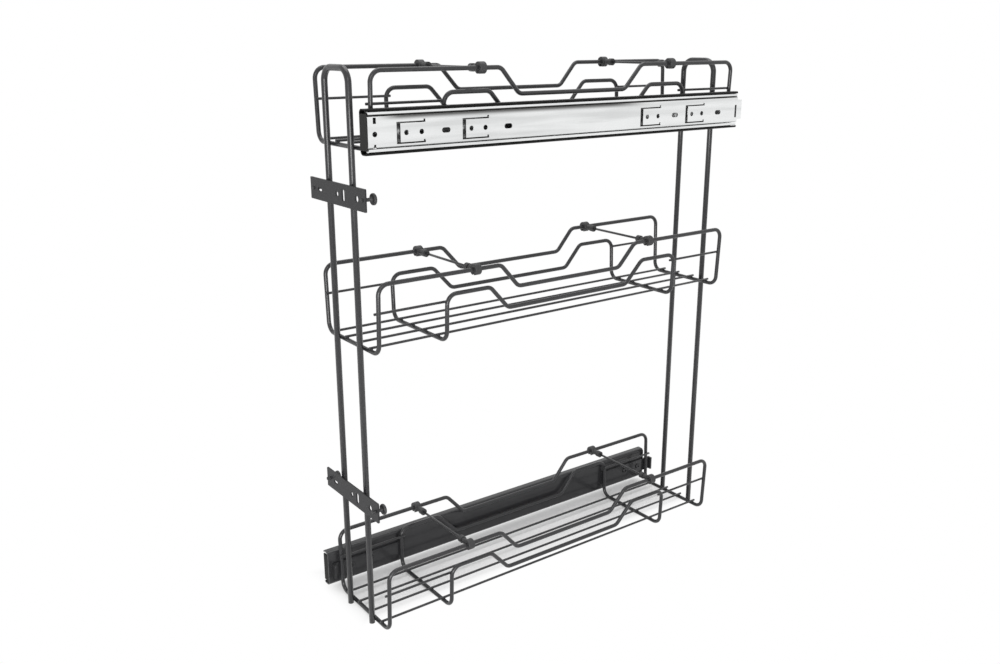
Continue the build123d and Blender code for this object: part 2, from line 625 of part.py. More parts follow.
def door_studs(level, nose_reach):
    """Waisted thumb studs through the ends of a door plate, heads behind it."""
    plate_front = UPRIGHT_PLACE + UPRIGHT_WIRE / 2 + WELD_GAP + PLATE_THICKNESS
    collar_start = plate_front - PLATE_THICKNESS - WELD_GAP
    collar_end = collar_start - STUD_COLLAR_REACH
    nose = plate_front + nose_reach
    head_front = nose - STUD_LENGTH
    head_back = head_front - STUD_HEAD_THICKNESS
    stem = STUD_STEM / 2
    with BuildPart() as studs:
        with BuildSketch(Plane(origin=(STUD_PLACE, Y_MIDDLE, level), x_dir=(0, -1, 0), z_dir=(0, 0, 1))):
            with BuildLine():
                Polyline(
                    (nose, 0),
                    (nose, stem),
                    (collar_start, stem),
                    (collar_start, STUD_COLLAR / 2),
                    (collar_end, stem),
                    (head_front + STUD_FLARE, stem),
                    (head_front, STUD_FLARE_WIDTH / 2),
                    (head_front, STUD_HEAD / 2),
                    (head_back, STUD_HEAD / 2),
                    (head_back, 0),
                    close=True,
                )
            make_face()
        revolve(axis=Axis((STUD_PLACE, Y_MIDDLE, level), (0, 1, 0)))
        heads = studs.edges().filter_by(GeomType.CIRCLE).group_by(SortBy.RADIUS)[-1]
        fillet(heads, radius=STUD_HEAD_ROUND)
        mirror(about=Plane.YZ)
    return studs.part


for plate, level in PLATE_LEVEL.items():
    finish(door_plate(level), f"{plate}_door_plate")
    finish(door_studs(level, STUD_NOSE_REACH[plate]), f"{plate}_door_studs")


# Dividers

def divider_rod(level, place):
    """Thin rod across a basket, held at both ends in a clip."""
    neck_end = leg_place(OUTER_RAIL_RISE) - CLIP_NECK_REACH
    reach = neck_end + ROD_GRIP
    with BuildPart() as rod:
        with BuildSketch(Plane.YZ.offset(-reach)):
            with Locations((Y_MIDDLE + place, level + OUTER_RAIL_RISE)):
                Circle(ROD_WIRE / 2)
        extrude(amount=reach * 2)
    return rod.part


def divider_clips(level, place):
    """Two plastic clips that snap over the raised rails and hold a rod between them."""
    rail = leg_place(OUTER_RAIL_RISE)
    height = level + OUTER_RAIL_RISE
    neck_end = rail - CLIP_NECK_REACH
    rod_hole = neck_end + ROD_GRIP + ROD_HOLE_PLAY
    with BuildPart() as clips:
        with BuildSketch(across(place - CLIP_WIDTH / 2)):
            with Locations((-rail, height)):
                Circle(CLIP_RING / 2)
        extrude(amount=CLIP_WIDTH)
        rims = clips.edges().filter_by(GeomType.CIRCLE).group_by(SortBy.RADIUS)[-1]
        fillet(rims, radius=CLIP_ROUND)
        with BuildSketch(Plane.YZ.offset(neck_end)):
            with Locations((Y_MIDDLE + place, height)):
                Circle(CLIP_NECK / 2)
        extrude(amount=CLIP_NECK_REACH)
        with BuildSketch(Plane.YZ.offset(neck_end)):
            with Locations((Y_MIDDLE + place, height)):
                Circle(CLIP_COLLAR / 2)
        extrude(amount=CLIP_COLLAR_LENGTH)
        with BuildSketch(across(place - CLIP_WIDTH / 2 - CUT_OVERRUN)):
            with Locations((-rail, height)):
                Circle(WIRE_RADIUS + CLIP_BORE_PLAY)
            with Locations((-rail, height - CLIP_RING / 2)):
                Rectangle(CLIP_MOUTH, CLIP_RING)
        extrude(amount=CLIP_WIDTH + CUT_OVERRUN * 2, mode=Mode.SUBTRACT)
        with BuildSketch(Plane.YZ.offset(neck_end - CUT_OVERRUN)):
            with Locations((Y_MIDDLE + place, height)):
                Circle(ROD_WIRE / 2 + ROD_HOLE_PLAY)
        extrude(amount=rod_hole - neck_end + CUT_OVERRUN, mode=Mode.SUBTRACT)
        mirror(about=Plane.YZ)
    return clips.part


for basket, places in DIVIDER_PLACES.items():
    for end, place in places.items():
        level = BASKET_LEVEL[basket]
        finish(divider_rod(level, place), f"{basket}_{end}_divider_rod")
        finish(divider_clips(level, place), f"{basket}_{end}_divider_clips")
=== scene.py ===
"""Pull-out spice rack: the finished look of every piece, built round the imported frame.

Metres. +X is the side of the upper drawer slide, -Y the door end, +Z up.
"""

from __future__ import annotations

import json
import logging
import math
from dataclasses import dataclass
from enum import Enum

import bmesh
import bpy
import numpy as np
from mathutils import Euler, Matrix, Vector

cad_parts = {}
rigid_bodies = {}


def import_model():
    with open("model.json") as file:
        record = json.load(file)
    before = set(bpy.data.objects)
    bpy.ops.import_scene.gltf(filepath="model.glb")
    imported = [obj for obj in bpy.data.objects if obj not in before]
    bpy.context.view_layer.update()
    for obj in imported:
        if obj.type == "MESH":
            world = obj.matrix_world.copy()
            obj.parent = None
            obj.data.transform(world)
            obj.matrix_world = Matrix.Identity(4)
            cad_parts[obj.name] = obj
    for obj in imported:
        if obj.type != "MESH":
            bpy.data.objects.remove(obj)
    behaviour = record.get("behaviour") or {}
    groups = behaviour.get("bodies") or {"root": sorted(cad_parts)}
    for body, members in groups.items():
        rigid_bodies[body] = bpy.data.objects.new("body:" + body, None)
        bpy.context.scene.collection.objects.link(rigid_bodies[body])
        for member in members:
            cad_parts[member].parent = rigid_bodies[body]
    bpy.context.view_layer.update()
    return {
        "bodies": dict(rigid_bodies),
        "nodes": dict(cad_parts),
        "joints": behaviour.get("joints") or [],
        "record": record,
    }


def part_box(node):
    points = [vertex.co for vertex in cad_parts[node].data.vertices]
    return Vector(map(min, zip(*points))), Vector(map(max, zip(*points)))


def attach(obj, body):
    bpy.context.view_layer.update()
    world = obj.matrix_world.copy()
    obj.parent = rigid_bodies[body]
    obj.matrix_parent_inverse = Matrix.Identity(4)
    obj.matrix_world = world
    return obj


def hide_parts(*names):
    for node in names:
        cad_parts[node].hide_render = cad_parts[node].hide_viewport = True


LOG = logging.getLogger("spice_rack")
MM = 0.001
WHITE = (1.0, 1.0, 1.0, 1.0)
ONE_LAYER, TWO_LAYERS, THREE_LAYERS = 1.0, 2.0, 3.0

Pair = tuple[float, float]
Point = tuple[float, float, float]
Colour = tuple[float, float, float, float]
Surface = tuple[np.ndarray, np.ndarray]


class Side(Enum):
    """The two drawer slides, with the side of the rack that each one is on."""

    UPPER = ("upper", 1.0)
    LOWER = ("lower", -1.0)

    @property
    def word(self) -> str:
        """The slide's word in node names."""
        return self.value[0]

    @property
    def sign(self) -> float:
        """Plus one on the near side, minus one on the far side."""
        return self.value[1]

    @property
    def rail_finish(self) -> Finish:
        """Finish of the rack rail: a darker copy of the powder coat, painted shade, on the near side;
        powder coat on the far side.
        """
        return Finish.RAIL_BLACK if self is Side.UPPER else Finish.BLACK


class Level(Enum):
    """The three baskets, with the height of their crossbars' centre line in millimetres."""

    BOTTOM = ("bottom", 2.5)
    MIDDLE = ("middle", 342.12)
    TOP = ("top", 559.8)

    @property
    def word(self) -> str:
        """The basket's word in node names."""
        return self.value[0]

    @property
    def height(self) -> float:
        """Height of the crossbars' centre line."""
        return self.value[1]


# Shader expressions

class Term:
    """An output socket that can be used in sums, so that node maths reads as maths."""

    def __init__(self, graph: Graph, socket: bpy.types.NodeSocket) -> None:
        """Keep the graph and the output socket.

        Args:
            graph: the graph that the socket is in.
            socket: the output socket that the term stands for.
        """
        self.graph = graph
        self.socket = socket

    def _math(self, operation: str, first: Term | float, second: Term | float) -> Term:
        """Add one Math node.

        Args:
            operation: the node's operation.
            first: left value.
            second: right value.

        Returns:
            The node's result.
        """
        settings = {"operation": operation}
        return self.graph.value("ShaderNodeMath", "Value", settings, Value=first, Value_001=second)

    def __add__(self, other: Term | float) -> Term:
        """Sum."""
        return self._math("ADD", self, other)

    def __radd__(self, other: float) -> Term:
        """Sum with a number on the left."""
        return self._math("ADD", other, self)

    def __sub__(self, other: Term | float) -> Term:
        """Difference."""
        return self._math("SUBTRACT", self, other)

    def __rsub__(self, other: float) -> Term:
        """Difference from a number."""
        return self._math("SUBTRACT", other, self)

    def __mul__(self, other: Term | float) -> Term:
        """Product."""
        return self._math("MULTIPLY", self, other)

    def __rmul__(self, other: float) -> Term:
        """Product with a number on the left."""
        return self._math("MULTIPLY", other, self)

    def __abs__(self) -> Term:
        """Size without its sign."""
        return self._math("ABSOLUTE", self, 0.0)

    def least(self, other: Term | float) -> Term:
        """The smaller of two values."""
        return self._math("MINIMUM", self, other)

    def most(self, other: Term | float) -> Term:
        """The larger of two values."""
        return self._math("MAXIMUM", self, other)

    def rise(self, low: float, high: float) -> Term:
        """Smooth step from 0 at the low value to 1 at the high value.

        Args:
            low: value where the step starts.
            high: value where it ends.

        Returns:
            The step.
        """
        settings = {"interpolation_type": "SMOOTHSTEP"}
        ends = {"From_Min": low, "From_Max": high}
        return self.graph.value("ShaderNodeMapRange", "Result", settings, Value=self, **ends)


class Graph:
    """A node tree under construction; sockets go by their identifiers, with underscores for spaces."""

    def __init__(self, tree: bpy.types.NodeTree) -> None:
        """Start with an empty tree.

        Args:
            tree: the node tree.
        """
        self.tree = tree
        self.tree.nodes.clear()

    def find(self, sockets: bpy.types.bpy_prop_collection, name: str) -> bpy.types.NodeSocket:
        """Find one socket of a node.

        Args:
            sockets: the node's inputs or outputs.
            name: the socket's identifier.

        Returns:
            The socket.
        """
        return next(socket for socket in sockets if socket.identifier.replace(" ", "_") == name)

    def feed(self, node: bpy.types.Node, name: str, value: Term | float | tuple) -> None:
        """Set or link one input of a node.

        Args:
            node: the node.
            name: the input's identifier.
            value: a term to link or a plain value.
        """
        slot = self.find(node.inputs, name)
        if isinstance(value, Term):
            self.tree.links.new(value.socket, slot)
        else:
            slot.default_value = value

    def node(
        self, kind: str, settings: dict | None = None, **inputs: Term | float | tuple
    ) -> bpy.types.Node:
        """Add a node.

        Args:
            kind: the node's type.
            settings: attributes, which are set before the inputs.
            inputs: values or terms by identifier.

        Returns:
            The node.
        """
        node = self.tree.nodes.new(kind)
        for key, value in (settings or {}).items():
            setattr(node, key, value)
        for name, value in inputs.items():
            self.feed(node, name, value)
        return node

    def result(self, node: bpy.types.Node, name: str) -> Term:
        """One output of a node."""
        return Term(self, self.find(node.outputs, name))

    def value(
        self, kind: str, output: str, settings: dict | None = None, **inputs: Term | float | tuple
    ) -> Term:
        """Add a node for the sake of one output.

        Args:
            kind: the node's type.
            output: the output's identifier.
            settings: attributes, which are set before the inputs.
            inputs: values or terms by identifier.

        Returns:
            The output.
        """
        return self.result(self.node(kind, settings, **inputs), output)


class Shader(Graph):
    """One material under construction, with its Principled node."""

    def __init__(self, name: str) -> None:
        """Start a node material.

        Args:
            name: the material's name.
        """
        self.material = bpy.data.materials.new(name)
        self.material.use_nodes = True
        super().__init__(self.material.node_tree)
        self.surface = self.node("ShaderNodeBsdfPrincipled")
        self.face = self.result(self.surface, "BSDF")
        self.output = self.node("ShaderNodeOutputMaterial", Surface=self.face)

    def place(self, scale: Point = (1.0, 1.0, 1.0)) -> Term:
        """Object coordinates, stretched.

        Args:
            scale: factors along X, Y and Z.

        Returns:
            The coordinates.
        """
        coordinates = self.value("ShaderNodeTexCoord", "Object")
        return self.value("ShaderNodeMapping", "Vector", Vector=coordinates, Scale=scale)

    def noise(self, place: Term, scale: float, detail: float = THREE_LAYERS) -> Term:
        """Noise between about 0 and 1.

        Args:
            place: coordinates.
            scale: patches in a metre.
            detail: number of finer layers.

        Returns:
            The noise value.
        """
        return self.value("ShaderNodeTexNoise", "Fac", Vector=place, Scale=scale, Detail=detail)

    def along(self, axis: str) -> Term:
        """One object coordinate.

        Args:
            axis: X, Y or Z.

        Returns:
            The coordinate in metres.
        """
        place = self.value("ShaderNodeTexCoord", "Object")
        return self.value("ShaderNodeSeparateXYZ", axis, Vector=place)

    def blend(self, factor: Term, first: Term | Colour, second: Term | Colour) -> Term:
        """Mix of two colours.

        Args:
            factor: share of the second colour.
            first: first colour.
            second: second colour.

        Returns:
            The colour.
        """
        settings = {"data_type": "RGBA"}
        inputs = {"Factor_Float": factor, "A_Color": first, "B_Color": second}
        return self.value("ShaderNodeMix", "Result_Color", settings, **inputs)

    def bump(self, height: Term, distance: float, strength: float) -> Term:
        """Normal tilted by a height.

        Args:
            height: the height, about 0 to 1.
            distance: real height in metres.
            strength: share of the effect.

        Returns:
            The normal.
        """
        return self.value("ShaderNodeBump", "Normal", Height=height, Distance=distance, Strength=strength)

    def set(self, **inputs: Term | float | tuple) -> None:
        """Set or link inputs of the Principled node.

        Args:
            inputs: values or terms by identifier.
        """
        for name, value in inputs.items():
            self.feed(self.surface, name, value)


# Finishes

@dataclass(frozen=True)
class PowderCoat:
    """Powder coat on steel: fine orange peel and a soft sheen."""

    name: str = "anthracite_powder_coat"
    low: Colour = (0.021, 0.021, 0.022, 1.0)
    high: Colour = (0.030, 0.030, 0.032, 1.0)
    roughness: float = 0.30
    shine: float = 0.20
    gloss: float = 0.40
    gloss_roughness: float = 0.12
    cloud_scale: float = 60.0
    spread: float = 0.12
    peel_scale: float = 900.0
    peel_depth: float = 0.00001
    peel_strength: float = 0.6

    def build(self) -> bpy.types.Material:
        """Make the material.

        Returns:
            The material.
        """
        shader = Shader(self.name)
        place = shader.place()
        cloud = shader.noise(place, self.cloud_scale)
        peel = shader.noise(place, self.peel_scale, ONE_LAYER)
        shader.set(
            Base_Color=shader.blend(cloud, self.low, self.high),
            Roughness=self.roughness - self.spread / 2 + cloud * self.spread,
            Normal=shader.bump(peel, self.peel_depth, self.peel_strength),
            Specular_IOR_Level=self.shine,
            Coat_Weight=self.gloss,
            Coat_Roughness=self.gloss_roughness,
        )
        return shader.material


@dataclass(frozen=True)
class ZincPlate:
    """Bright zinc plate on rolled strip, streaked along the rolling direction, with painted shade inside,
    behind the outer face.
    """

    name: str
    level: float
    half: float
    low: Colour = (0.66, 0.67, 0.67, 1.0)
    high: Colour = (0.88, 0.89, 0.89, 1.0)
    # Painted shade: the dark colour that stands for shade inside the rail and in its gaps.
    greased: Colour = (0.13, 0.13, 0.128, 1.0)
    roughness: float = 0.17
    line_scale: float = 500.0
    line_stretch: float = 0.02
    line_roughness: float = 0.08
    line_depth: float = 0.00002
    line_strength: float = 0.3
    streak_scale: float = 90.0
    streak_stretch: float = 0.06
    streak_range: Pair = (0.30, 0.62)
    streak_share: float = 0.7
    cloud_scale: float = 40.0
    cloud_roughness: float = 0.06
    # Painted shade: extra roughness that goes with it, and the X between which the inner painted shade
    # fades out.
    grease_roughness: float = 0.25
    grease_until: float = 0.0750
    grease_from: float = 0.0754
    race: float = 0.0080
    race_edge: float = 0.0010
    # Share of the inner painted shade on the web, which darkens its holes.
    web_share: float = 0.55
    edge_share: float = 0.9

    def races(self, shader: Shader) -> Term:
        """One near the two lips, where the balls run, nought on the web between them."""
        rise = abs(shader.along("Z") - self.level)
        return rise.rise(self.half - self.race, self.half - self.race + self.race_edge)

    def inside(self, shader: Shader) -> Term:
        """Painted shade behind the outer face: full in the races, thinner on the web."""
        behind = 1.0 - abs(shader.along("X")).rise(self.grease_until, self.grease_from)
        return behind * (self.races(shader) * (1.0 - self.web_share) + self.web_share)

    def dirt(self, shader: Shader) -> Term:
        """Share of painted shade at each place."""
        return self.inside(shader)

    def build(self) -> bpy.types.Material:
        """Make the material.

        Returns:
            The material.
        """
        shader = Shader(self.name)
        rolled = shader.place((1.0, self.line_stretch, 1.0))
        lines = shader.noise(rolled, self.line_scale, TWO_LAYERS)
        drawn = shader.place((1.0, self.streak_stretch, 1.0))
        streak = shader.noise(drawn, self.streak_scale, TWO_LAYERS).rise(*self.streak_range)
        cloud = shader.noise(shader.place(), self.cloud_scale)
        dirt = self.dirt(shader)
        brightness = streak * self.streak_share + cloud * (1.0 - self.streak_share)
        clean = shader.blend(brightness, self.low, self.high)
        polish = self.roughness + lines * self.line_roughness + cloud * self.cloud_roughness
        # Painted shade: the zinc is blended to the dark colour by the shade mask.
        shader.set(
            Base_Color=shader.blend(dirt, clean, self.greased),
            Metallic=1.0,
            Roughness=polish + dirt * self.grease_roughness,
            Normal=shader.bump(lines, self.line_depth, self.line_strength),
        )
        return shader.material


@dataclass(frozen=True)
class CabinetZinc(ZincPlate):
    """Zinc of the rail on the cabinet wall: no painted shade on its lower rim, a band of painted shade
    along its upper rim.
    """

    grease_until: float = 0.0764
    grease_from: float = 0.0767
    rim: float = 0.0011
    # Painted shade band under the upper rim: its height, its soft edge and where it starts and ends along
    # Y.
    smear: float = 0.0065
    smear_edge: float = 0.0015
    smear_start: Pair = (-0.272, -0.235)
    smear_end: Pair = (0.045, 0.120)

    def dirt(self, shader: Shader) -> Term:
        """Share of painted shade at each place; the painted shade band on the upper rim ends short of
        both ends.

        Args:
            shader: the material under construction.

        Returns:
            The share.
        """
        rise = shader.along("Z") - self.level
        place = shader.along("Y")
        lower = rise.rise(-self.half + self.rim * self.edge_share, -self.half + self.rim)
        # Painted shade: a dark band under the upper rim.
        upper = rise.rise(self.half - self.smear, self.half - self.smear_edge)
        run = place.rise(*self.smear_start) * (1.0 - place.rise(*self.smear_end))
        return (self.inside(shader) * lower).most(upper * run)


@dataclass(frozen=True)
class MiddleZinc(ZincPlate):
    """Zinc of the middle rail: painted shade beside its two lips and behind its outer face, but none
    along the lower edge.
    """

    lip: float = 0.0028
    # Height above the lower edge that stays free of painted shade.
    clean: float = 0.0036

    def dirt(self, shader: Shader) -> Term:
        """Share of painted shade at each place.

        Args:
            shader: the material under construction.

        Returns:
            The share.
        """
        rise = shader.along("Z") - self.level
        lips = abs(rise).rise(self.half - self.lip, self.half - self.lip * self.edge_share)
        # Painted shade in the gaps between the lips and the races.
        between = self.races(shader) * (1.0 - lips)
        above = rise.rise(-self.half + self.clean * self.edge_share, -self.half + self.clean)
        return self.inside(shader).most(between) * above


@dataclass(frozen=True)
class MouldedPlastic:
    """Black moulded plastic with a fine spark-eroded grain."""

    name: str = "black_moulded_plastic"
    low: Colour = (0.020, 0.020, 0.021, 1.0)
    high: Colour = (0.030, 0.030, 0.031, 1.0)
    roughness: float = 0.50
    spread: float = 0.10
    cloud_scale: float = 120.0
    grain_scale: float = 2400.0
    grain_depth: float = 0.00001
    grain_strength: float = 0.5

    def build(self) -> bpy.types.Material:
        """Make the material.

        Returns:
            The material.
        """
        shader = Shader(self.name)
        place = shader.place()
        grain = shader.noise(place, self.grain_scale, ONE_LAYER)
        cloud = shader.noise(place, self.cloud_scale)
        shader.set(
            Base_Color=shader.blend(cloud, self.low, self.high),
            Roughness=self.roughness - self.spread / 2 + grain * self.spread,
            Normal=shader.bump(grain, self.grain_depth, self.grain_strength),
        )
        return shader.material


@dataclass(frozen=True)
class SoftRubber:
    """Matt black rubber."""

    name: str = "matt_rubber"
    low: Colour = (0.014, 0.014, 0.014, 1.0)
    high: Colour = (0.024, 0.024, 0.023, 1.0)
    roughness: float = 0.75
    spread: float = 0.12
    shine: float = 0.25
    cloud_scale: float = 300.0
    cloud_depth: float = 0.00003
    cloud_strength: float = 0.4

    def build(self) -> bpy.types.Material:
        """Make the material.

        Returns:
            The material.
        """
        shader = Shader(self.name)
        cloud = shader.noise(shader.place(), self.cloud_scale)
        shader.set(
            Base_Color=shader.blend(cloud, self.low, self.high),
            Roughness=self.roughness + cloud * self.spread,
            Normal=shader.bump(cloud, self.cloud_depth, self.cloud_strength),
            Specular_IOR_Level=self.shine,
        )
        return shader.material


@dataclass(frozen=True)
class BareSteel:
    """Polished steel of the balls and plain strip of the cages."""

    name: str
    low: Colour
    high: Colour
    roughness: float
    spread: float = 0.08
    cloud_scale: float = 400.0
    cloud_depth: float = 0.00001
    cloud_strength: float = 0.2

    def build(self) -> bpy.types.Material:
        """Make the material.

        Returns:
            The material.
        """
        shader = Shader(self.name)
        cloud = shader.noise(shader.place(), self.cloud_scale)
        shader.set(
            Base_Color=shader.blend(cloud, self.low, self.high),
            Metallic=1.0,
            Roughness=self.roughness + cloud * self.spread,
            Normal=shader.bump(cloud, self.cloud_depth, self.cloud_strength),
        )
        return shader.material


class Finish(Enum):
    """The finishes, each with the record's material slot that it belongs to."""

    BLACK = ("black", PowderCoat())
    PLASTIC = ("plastic", MouldedPlastic())
    RUBBER = ("rubber", SoftRubber())
    STEEL = (
        "steel",
        BareSteel("polished_ball_steel", (0.58, 0.58, 0.60, 1.0), (0.66, 0.66, 0.68, 1.0), 0.08),
    )
    CAGE = (
        "cage",
        BareSteel("plain_cage_strip", (0.45, 0.45, 0.47, 1.0), (0.55, 0.55, 0.57, 1.0), 0.30),
    )
    # Painted shade: a darker copy of the powder coat for the upper slide's rack rail, which sits in
    # shade.
    RAIL_BLACK = (
        "black",
        PowderCoat(
            name="black_rail_lacquer",
            low=(0.004, 0.004, 0.004, 1.0),
            high=(0.007, 0.007, 0.007, 1.0),
            shine=0.10,
            gloss=0.0,
        ),
    )
    PLATE_BLACK = (
        "black",
        PowderCoat(
            name="plate_powder_coat",
            low=(0.014, 0.014, 0.015, 1.0),
            high=(0.032, 0.032, 0.034, 1.0),
            roughness=0.42,
            gloss=0.0,
        ),
    )

    @property
    def slot(self) -> str:
        """The record's slot name."""
        return self.value[0]

    def material(self) -> bpy.types.Material:
        """The finish's one material, made at first use."""
        recipe = self.value[1]
        return bpy.data.materials.get(recipe.name) or recipe.build()


# Surfaces

# Metres, under which two points are one
MERGE_DISTANCE = 1e-7
# Latitudes of the rings on a domed wire end, and the dome's height as a share of a half ball's
DOME_DEGREES = (72.0, 48.0, 24.0)
DOME_SHARE = 0.4
# A direction that no run of these wires is parallel to
STEADY_DIRECTION = (0.70, 0.69, 0.17)
STRAIGHT_POINTS = 3
# Millimetres; the small ring that stands for the middle of a turned piece
POLE_RADIUS = 0.02


def make_object(name: str, points: np.ndarray, faces: np.ndarray) -> bpy.types.Object:
    """Put points and faces into a new object with smooth shading.

    Args:
        name: the object's name.
        points: n by 3 places in metres.
        faces: m by 4 indices.

    Returns:
        The object.
    """
    mesh = bpy.data.meshes.new(name)
    mesh.from_pydata(points.tolist(), [], faces.tolist())
    mesh.shade_smooth()
    thing = bpy.data.objects.new(name, mesh)
    bpy.context.scene.collection.objects.link(thing)
    return thing


def ring_faces(rings: int, sides: int, closed: bool = False) -> np.ndarray:
    """Quadrilaterals between neighbouring rings of a grid of points that is numbered ring by ring.

    Args:
        rings: number of rings.
        sides: points on each ring.
        closed: whether the last ring joins the first.

    Returns:
        m by 4 indices.
    """
    row = np.arange(rings if closed else rings - 1)[:, None]
    column = np.arange(sides)[None, :]
    following = (row + 1) % rings
    beside = (column + 1) % sides
    corners = [
        row * sides + column,
        row * sides + beside,
        following * sides + beside,
        following * sides + column,
    ]
    return np.stack(corners, -1).reshape(-1, 4)


def rounded_path(corners: np.ndarray, radii: np.ndarray, steps: int, closed: bool) -> np.ndarray:
    """Straight runs joined by tangent arcs.

    Each corner is replaced by points of the circle that touches both runs: centre = corner plus
    bisector times radius over the sine of half the corner angle, and the points turn from one
    touching point to the other at an even angle.

    Args:
        corners: n by 3 corner points.
        radii: one radius for each corner that is rounded.
        steps: arc divisions.
        closed: whether the path closes on itself.

    Returns:
        m by 3 points of the path.
    """
    count = len(corners)
    index = np.arange(count) if closed else np.arange(1, count - 1)
    corner = corners[index]
    before = corners[index - 1] - corner
    after = corners[(index + 1) % count] - corner
    before /= np.linalg.norm(before, axis=1, keepdims=True)
    after /= np.linalg.norm(after, axis=1, keepdims=True)
    half = np.arccos(np.clip((before * after).sum(1), -1, 1)) / 2
    reach = radii / np.tan(half)
    bisector = before + after
    bisector /= np.linalg.norm(bisector, axis=1, keepdims=True)
    centre = corner + bisector * (radii / np.sin(half))[:, None]
    start = corner + before * reach[:, None] - centre
    end = corner + after * reach[:, None] - centre
    angle = (math.pi - 2 * half)[:, None, None]
    share = np.linspace(0, 1, steps + 1)[None, :, None]
    leaving = np.sin((1 - share) * angle) * start[:, None, :]
    arriving = np.sin(share * angle) * end[:, None, :]
    arcs = (leaving + arriving) / np.sin(angle)
    points = (arcs + centre[:, None, :]).reshape(-1, 3)
    if closed:
        return points
    return np.vstack([corners[:1], points, corners[-1:]])


def tube(path: np.ndarray, radius: float, sides: int, closed: bool) -> Surface:
    """Round wire along a path: each ring is the path's point plus radius times a turning unit vector.

    The ring's two axes are the cross products of the tangent with one steady direction that no
    run of these wires is parallel to. Open ends get a low dome of smaller rings.

    Args:
        path: n by 3 points.
        radius: wire radius.
        sides: points on each ring.
        closed: whether the last ring joins the first.

    Returns:
        Points and quadrilaterals.
    """
    if closed:
        tangent = np.roll(path, -1, 0) - np.roll(path, 1, 0)
    else:
        tangent = np.gradient(path, axis=0)
    tangent /= np.linalg.norm(tangent, axis=1, keepdims=True)
    centre, size = path, np.full(len(path), radius)
    if not closed:
        dome = np.radians(DOME_DEGREES)
        rise = np.sin(dome) * radius * DOME_SHARE
        head = path[0] - tangent[0] * rise[:, None]
        tail = path[-1] + tangent[-1] * rise[::-1, None]
        centre = np.vstack([head, path, tail])
        first, last = (np.repeat(end, len(dome), 0) for end in (tangent[:1], tangent[-1:]))
        tangent = np.vstack([first, tangent, last])
        size = np.concatenate([np.cos(dome) * radius, size, np.cos(dome)[::-1] * radius])
    across = np.cross(tangent, np.array(STEADY_DIRECTION))
    across /= np.linalg.norm(across, axis=1, keepdims=True)
    along = np.cross(tangent, across)
    turn = (np.arange(sides) / sides * 2 * math.pi)[None, :, None]
    ring = np.cos(turn) * across[:, None, :] + np.sin(turn) * along[:, None, :]
    points = (centre[:, None, :] + ring * size[:, None, None]).reshape(-1, 3)
    return points, ring_faces(len(centre), sides, closed)


def straight_wire(start: Point, end: Point, wire: float, sides: int) -> Surface:
    """One straight round wire: even points from end to end, carried as a tube.

    Args:
        start: one end, in millimetres.
        end: the other end, in millimetres.
        wire: thickness, in millimetres.
        sides: points on each ring.

    Returns:
        Points in metres and faces.
    """
    path = np.linspace(start, end, STRAIGHT_POINTS)
    return tube(path * MM, wire / 2 * MM, sides, False)


def ball_grid(centres: np.ndarray, sizes: np.ndarray, rows: int, columns: int) -> Surface:
    """Many small ellipsoids: latitude and longitude on a grid, scaled by each one's three sizes.

    Args:
        centres: n by 3 places.
        sizes: n by 3 half lengths.
        rows: latitude rings between the poles.
        columns: points on each ring.

    Returns:
        Points and quadrilaterals; each pole is a small ring that shares one place.
    """
    latitude = np.linspace(-math.pi / 2, math.pi / 2, rows + 2)[:, None]
    longitude = np.arange(columns)[None, :] / columns * 2 * math.pi
    east = np.cos(latitude) * np.cos(longitude)
    north = np.cos(latitude) * np.sin(longitude)
    up = np.sin(latitude) + 0 * longitude
    unit = np.stack([east, north, up], -1).reshape(-1, 3)
    points = (centres[:, None, :] + unit[None, :, :] * sizes[:, None, :]).reshape(-1, 3)
    one = ring_faces(rows + 2, columns)
    shift = (np.arange(len(centres)) * len(unit))[:, None, None]
    return points, (one[None, :, :] + shift).reshape(-1, 4)


def join(parts: list[Surface]) -> Surface:
    """Put several surfaces into one: each one's indices move up by the points before it.

    Args:
        parts: points and faces of each.

    Returns:
        All points and all faces.
    """
    starts = np.cumsum([0] + [len(points) for points, _ in parts])
    return (
        np.vstack([points for points, _ in parts]),
        np.vstack([faces + start for (_, faces), start in zip(parts, starts)]),
    )


def close_up(thing: bpy.types.Object) -> None:
    """Merge doubled points, cap open ends and turn all faces outwards.

    Args:
        thing: the object.
    """
    work = bmesh.new()
    work.from_mesh(thing.data)
    bmesh.ops.remove_doubles(work, verts=work.verts, dist=MERGE_DISTANCE)
    bmesh.ops.holes_fill(work, edges=[e for e in work.edges if e.is_boundary], sides=0)
    bmesh.ops.recalc_face_normals(work, faces=work.faces)
    work.to_mesh(thing.data)
    work.free()
    thing.data.shade_smooth()


def dress(thing: bpy.types.Object, body: str, finish: Finish, *nodes: str) -> None:
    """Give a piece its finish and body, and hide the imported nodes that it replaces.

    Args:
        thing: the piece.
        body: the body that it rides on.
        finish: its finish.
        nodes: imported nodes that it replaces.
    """
    thing.data.materials.clear()
    thing.data.materials.append(finish.material())
    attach(thing, body)
    if nodes:
        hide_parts(*nodes)
    LOG.info("%s rides on %s", thing.name, body)


def refinish(frame: dict, material: bpy.types.Material, *nodes: str) -> None:
    """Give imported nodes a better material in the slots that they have.

    Args:
        frame: the loaded frame.
        material: the material.
        nodes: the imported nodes.
    """
    for node in nodes:
        for slot in frame["nodes"][node].material_slots:
            slot.material = material
        LOG.info("%s keeps its solid", node)


# The rack

@dataclass(frozen=True)
class LoopSizes:
    """Lengths of one bent wire loop in millimetres; its rails drop between two places from the middle."""

    length: float
    rise: float
    low_rise: float
    drop_start: float
    drop_end: float


